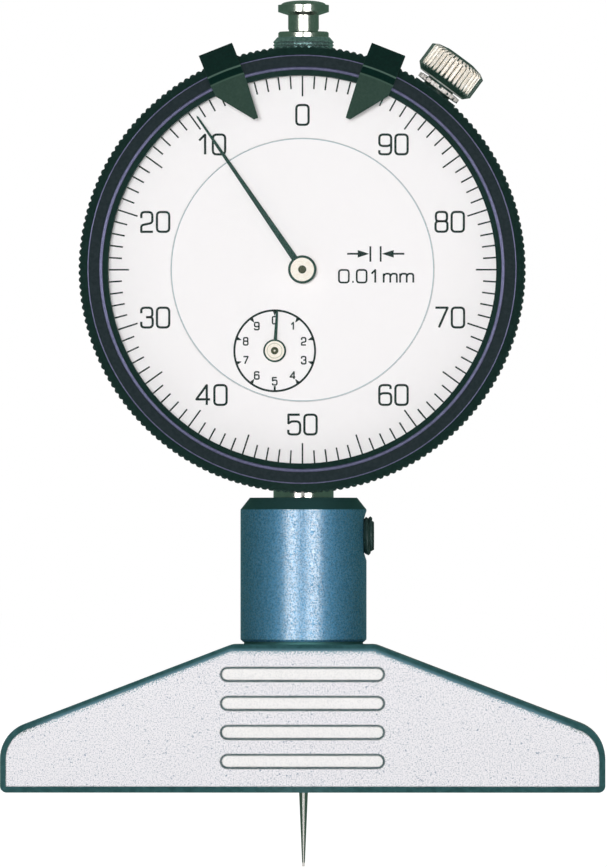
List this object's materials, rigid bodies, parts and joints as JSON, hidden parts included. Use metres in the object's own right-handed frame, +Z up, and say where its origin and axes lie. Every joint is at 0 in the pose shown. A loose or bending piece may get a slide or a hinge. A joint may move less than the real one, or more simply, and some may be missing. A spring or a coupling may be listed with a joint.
{
  "type": "dial depth gauge",
  "caption": "Dial depth gauge: white dial in a knurled turning bezel with limit markers, lifting knob on top, stem clamped in a sleeve on a wide ground base, needle contact point.",
  "frame": {"origin": "middle of the base's flat reference face, on the axis of the spindle", "axes": "+Z up along the spindle away from the reference face, dial facing -Y, base long along X"},
  "size_m": [0.08, 0.0219, 0.1149],
  "materials": {
    "base_block": "steel block, front and back ground bright, edges satin blue",
    "sleeve_satin": "satin blue plated steel",
    "black_screw": "black oxide steel",
    "bezel_black": "satin black with a green cast, knurled rim",
    "case_black": "satin black with a green cast",
    "marker_black": "satin green black spring sheet",
    "polished_steel": "polished",
    "bright_chrome": "bright",
    "plain_steel": "turned",
    "clock_brass": "turned",
    "dial_white": "matt white",
    "pointer_green": "satin dark green",
    "hub_cream": "satin cream",
    "crystal": "clear, flat",
    "seal_rubber": "matt",
    "jewel": "polished synthetic ruby"
  },
  "bodies": {
    "base": {"base_block": "base_block", "stem_sleeve": "sleeve_satin"},
    "stem_clamp_pad": {"stem_clamp_pad": "clock_brass"},
    "stem_clamp_screw": {"stem_clamp_screw": "black_screw"},
    "gauge_head": {"case": "case_black", "back_cover": "case_black", "back_cover_gasket": "seal_rubber", "back_cover_screws": "plain_steel", "stem": "polished_steel", "stem_bush": "clock_brass", "upper_bush": "bright_chrome", "movement_plate": "clock_brass", "movement_pillars": "clock_brass", "movement_screws": "plain_steel", "centre_bridge": "clock_brass", "bridge_pillars": "clock_brass", "bridge_screws": "plain_steel", "bearing_jewels": "jewel", "hairspring": "plain_steel", "hairspring_stud": "plain_steel", "spring_anchor": "plain_steel", "spindle_spring": "plain_steel", "dial_centre": "dial_white", "dial_feet": "plain_steel", "dial_friction_spring": "plain_steel"},
    "spindle": {"spindle": "polished_steel", "guide_pin": "polished_steel", "spring_pin": "polished_steel", "contact_point": "polished_steel", "lifting_knob": "polished_steel"},
    "counter_arbor": {"rack_pinion": "plain_steel", "first_wheel": "clock_brass", "counter_hub": "hub_cream", "counter_pointer": "pointer_green"},
    "take_up_arbor": {"take_up_arbor": "plain_steel", "take_up_wheel": "clock_brass", "hairspring_collet": "clock_brass"},
    "centre_arbor": {"centre_pinion": "plain_steel", "main_hub": "hub_cream", "main_pointer": "pointer_green"},
    "bezel": {"bezel": "bezel_black", "crystal": "crystal", "crystal_gasket": "seal_rubber", "dial_ring": "dial_white", "bezel_snap_ring": "plain_steel"},
    "limit_marker_left": {"limit_marker_left": "marker_black"},
    "limit_marker_right": {"limit_marker_right": "marker_black"},
    "clamp_collar": {"clamp_collar": "bright_chrome"},
    "clamp_screw": {"clamp_screw": "bright_chrome"},
    "clamp_shoe": {"clamp_shoe": "clock_brass"}
  },
  "joints": [
    {"name": "head_swivel", "type": "hinge", "parent": "base", "child": "gauge_head", "pos_m": [0, 0, 0.03899], "axis": [0, 0, 1], "range_deg": [-180, 180]},
    {"name": "spindle_travel", "type": "slide", "parent": "gauge_head", "child": "spindle", "axis": [0, 0, 1], "range_m": [0, 0.0108], "stiffness_N_per_m": 15, "springref_m": -0.05, "deforming": ["spindle_spring"]},
    {"name": "counter_turn", "type": "hinge", "parent": "gauge_head", "child": "counter_arbor", "pos_m": [-0.00366, 0, 0.05837], "axis": [0, 1, 0], "range_deg": [-391, 2]},
    {"name": "take_up_turn", "type": "hinge", "parent": "gauge_head", "child": "take_up_arbor", "pos_m": [0.008, 0, 0.06107], "axis": [0, 1, 0], "range_deg": [-391, 2]},
    {"name": "pointer_turn", "type": "hinge", "parent": "gauge_head", "child": "centre_arbor", "pos_m": [0, 0, 0.06907], "axis": [0, 1, 0], "range_deg": [-5, 3895]},
    {"name": "bezel_turn", "type": "hinge", "parent": "gauge_head", "child": "bezel", "pos_m": [0, 0, 0.06907], "axis": [0, 1, 0], "continuous": true},
    {"name": "left_marker_turn", "type": "hinge", "parent": "bezel", "child": "limit_marker_left", "pos_m": [0, 0, 0.06907], "axis": [0, 1, 0], "range_deg": [-150, 15]},
    {"name": "right_marker_turn", "type": "hinge", "parent": "bezel", "child": "limit_marker_right", "pos_m": [0, 0, 0.06907], "axis": [0, 1, 0], "range_deg": [-15, 150]},
    {"name": "clamp_collar_slide", "type": "slide", "parent": "gauge_head", "child": "clamp_collar", "axis": [0.5948, 0, 0.8039], "range_m": [0, 0.000525]},
    {"name": "clamp_screw_turn", "type": "hinge", "parent": "clamp_collar", "child": "clamp_screw", "pos_m": [0, -0.0013, 0.06907], "axis": [0.5948, 0, 0.8039], "range_deg": [-2, 272]},
    {"name": "clamp_shoe_slide", "type": "slide", "parent": "gauge_head", "child": "clamp_shoe", "axis": [0, 1, 0], "range_m": [0, 0.0006]},
    {"name": "stem_pad_slide", "type": "slide", "parent": "base", "child": "stem_clamp_pad", "axis": [1, 0, 0], "range_m": [0, 0.0006]},
    {"name": "stem_screw_turn", "type": "hinge", "parent": "stem_clamp_pad", "child": "stem_clamp_screw", "pos_m": [0, 0, 0.03393], "axis": [1, 0, 0], "range_deg": [-2, 272]}
  ],
  "couplings": [
    {"joint": "counter_turn", "follows": "spindle_travel", "rad_per_m": -628.32},
    {"joint": "take_up_turn", "follows": "spindle_travel", "rad_per_m": -628.32},
    {"joint": "pointer_turn", "follows": "spindle_travel", "rad_per_m": 6283.2},
    {"joint": "clamp_screw_turn", "follows": "clamp_collar_slide", "rad_per_m": 8976},
    {"joint": "clamp_shoe_slide", "follows": "clamp_collar_slide", "ratio": 1},
    {"joint": "stem_screw_turn", "follows": "stem_pad_slide", "rad_per_m": 7854}
  ]
}
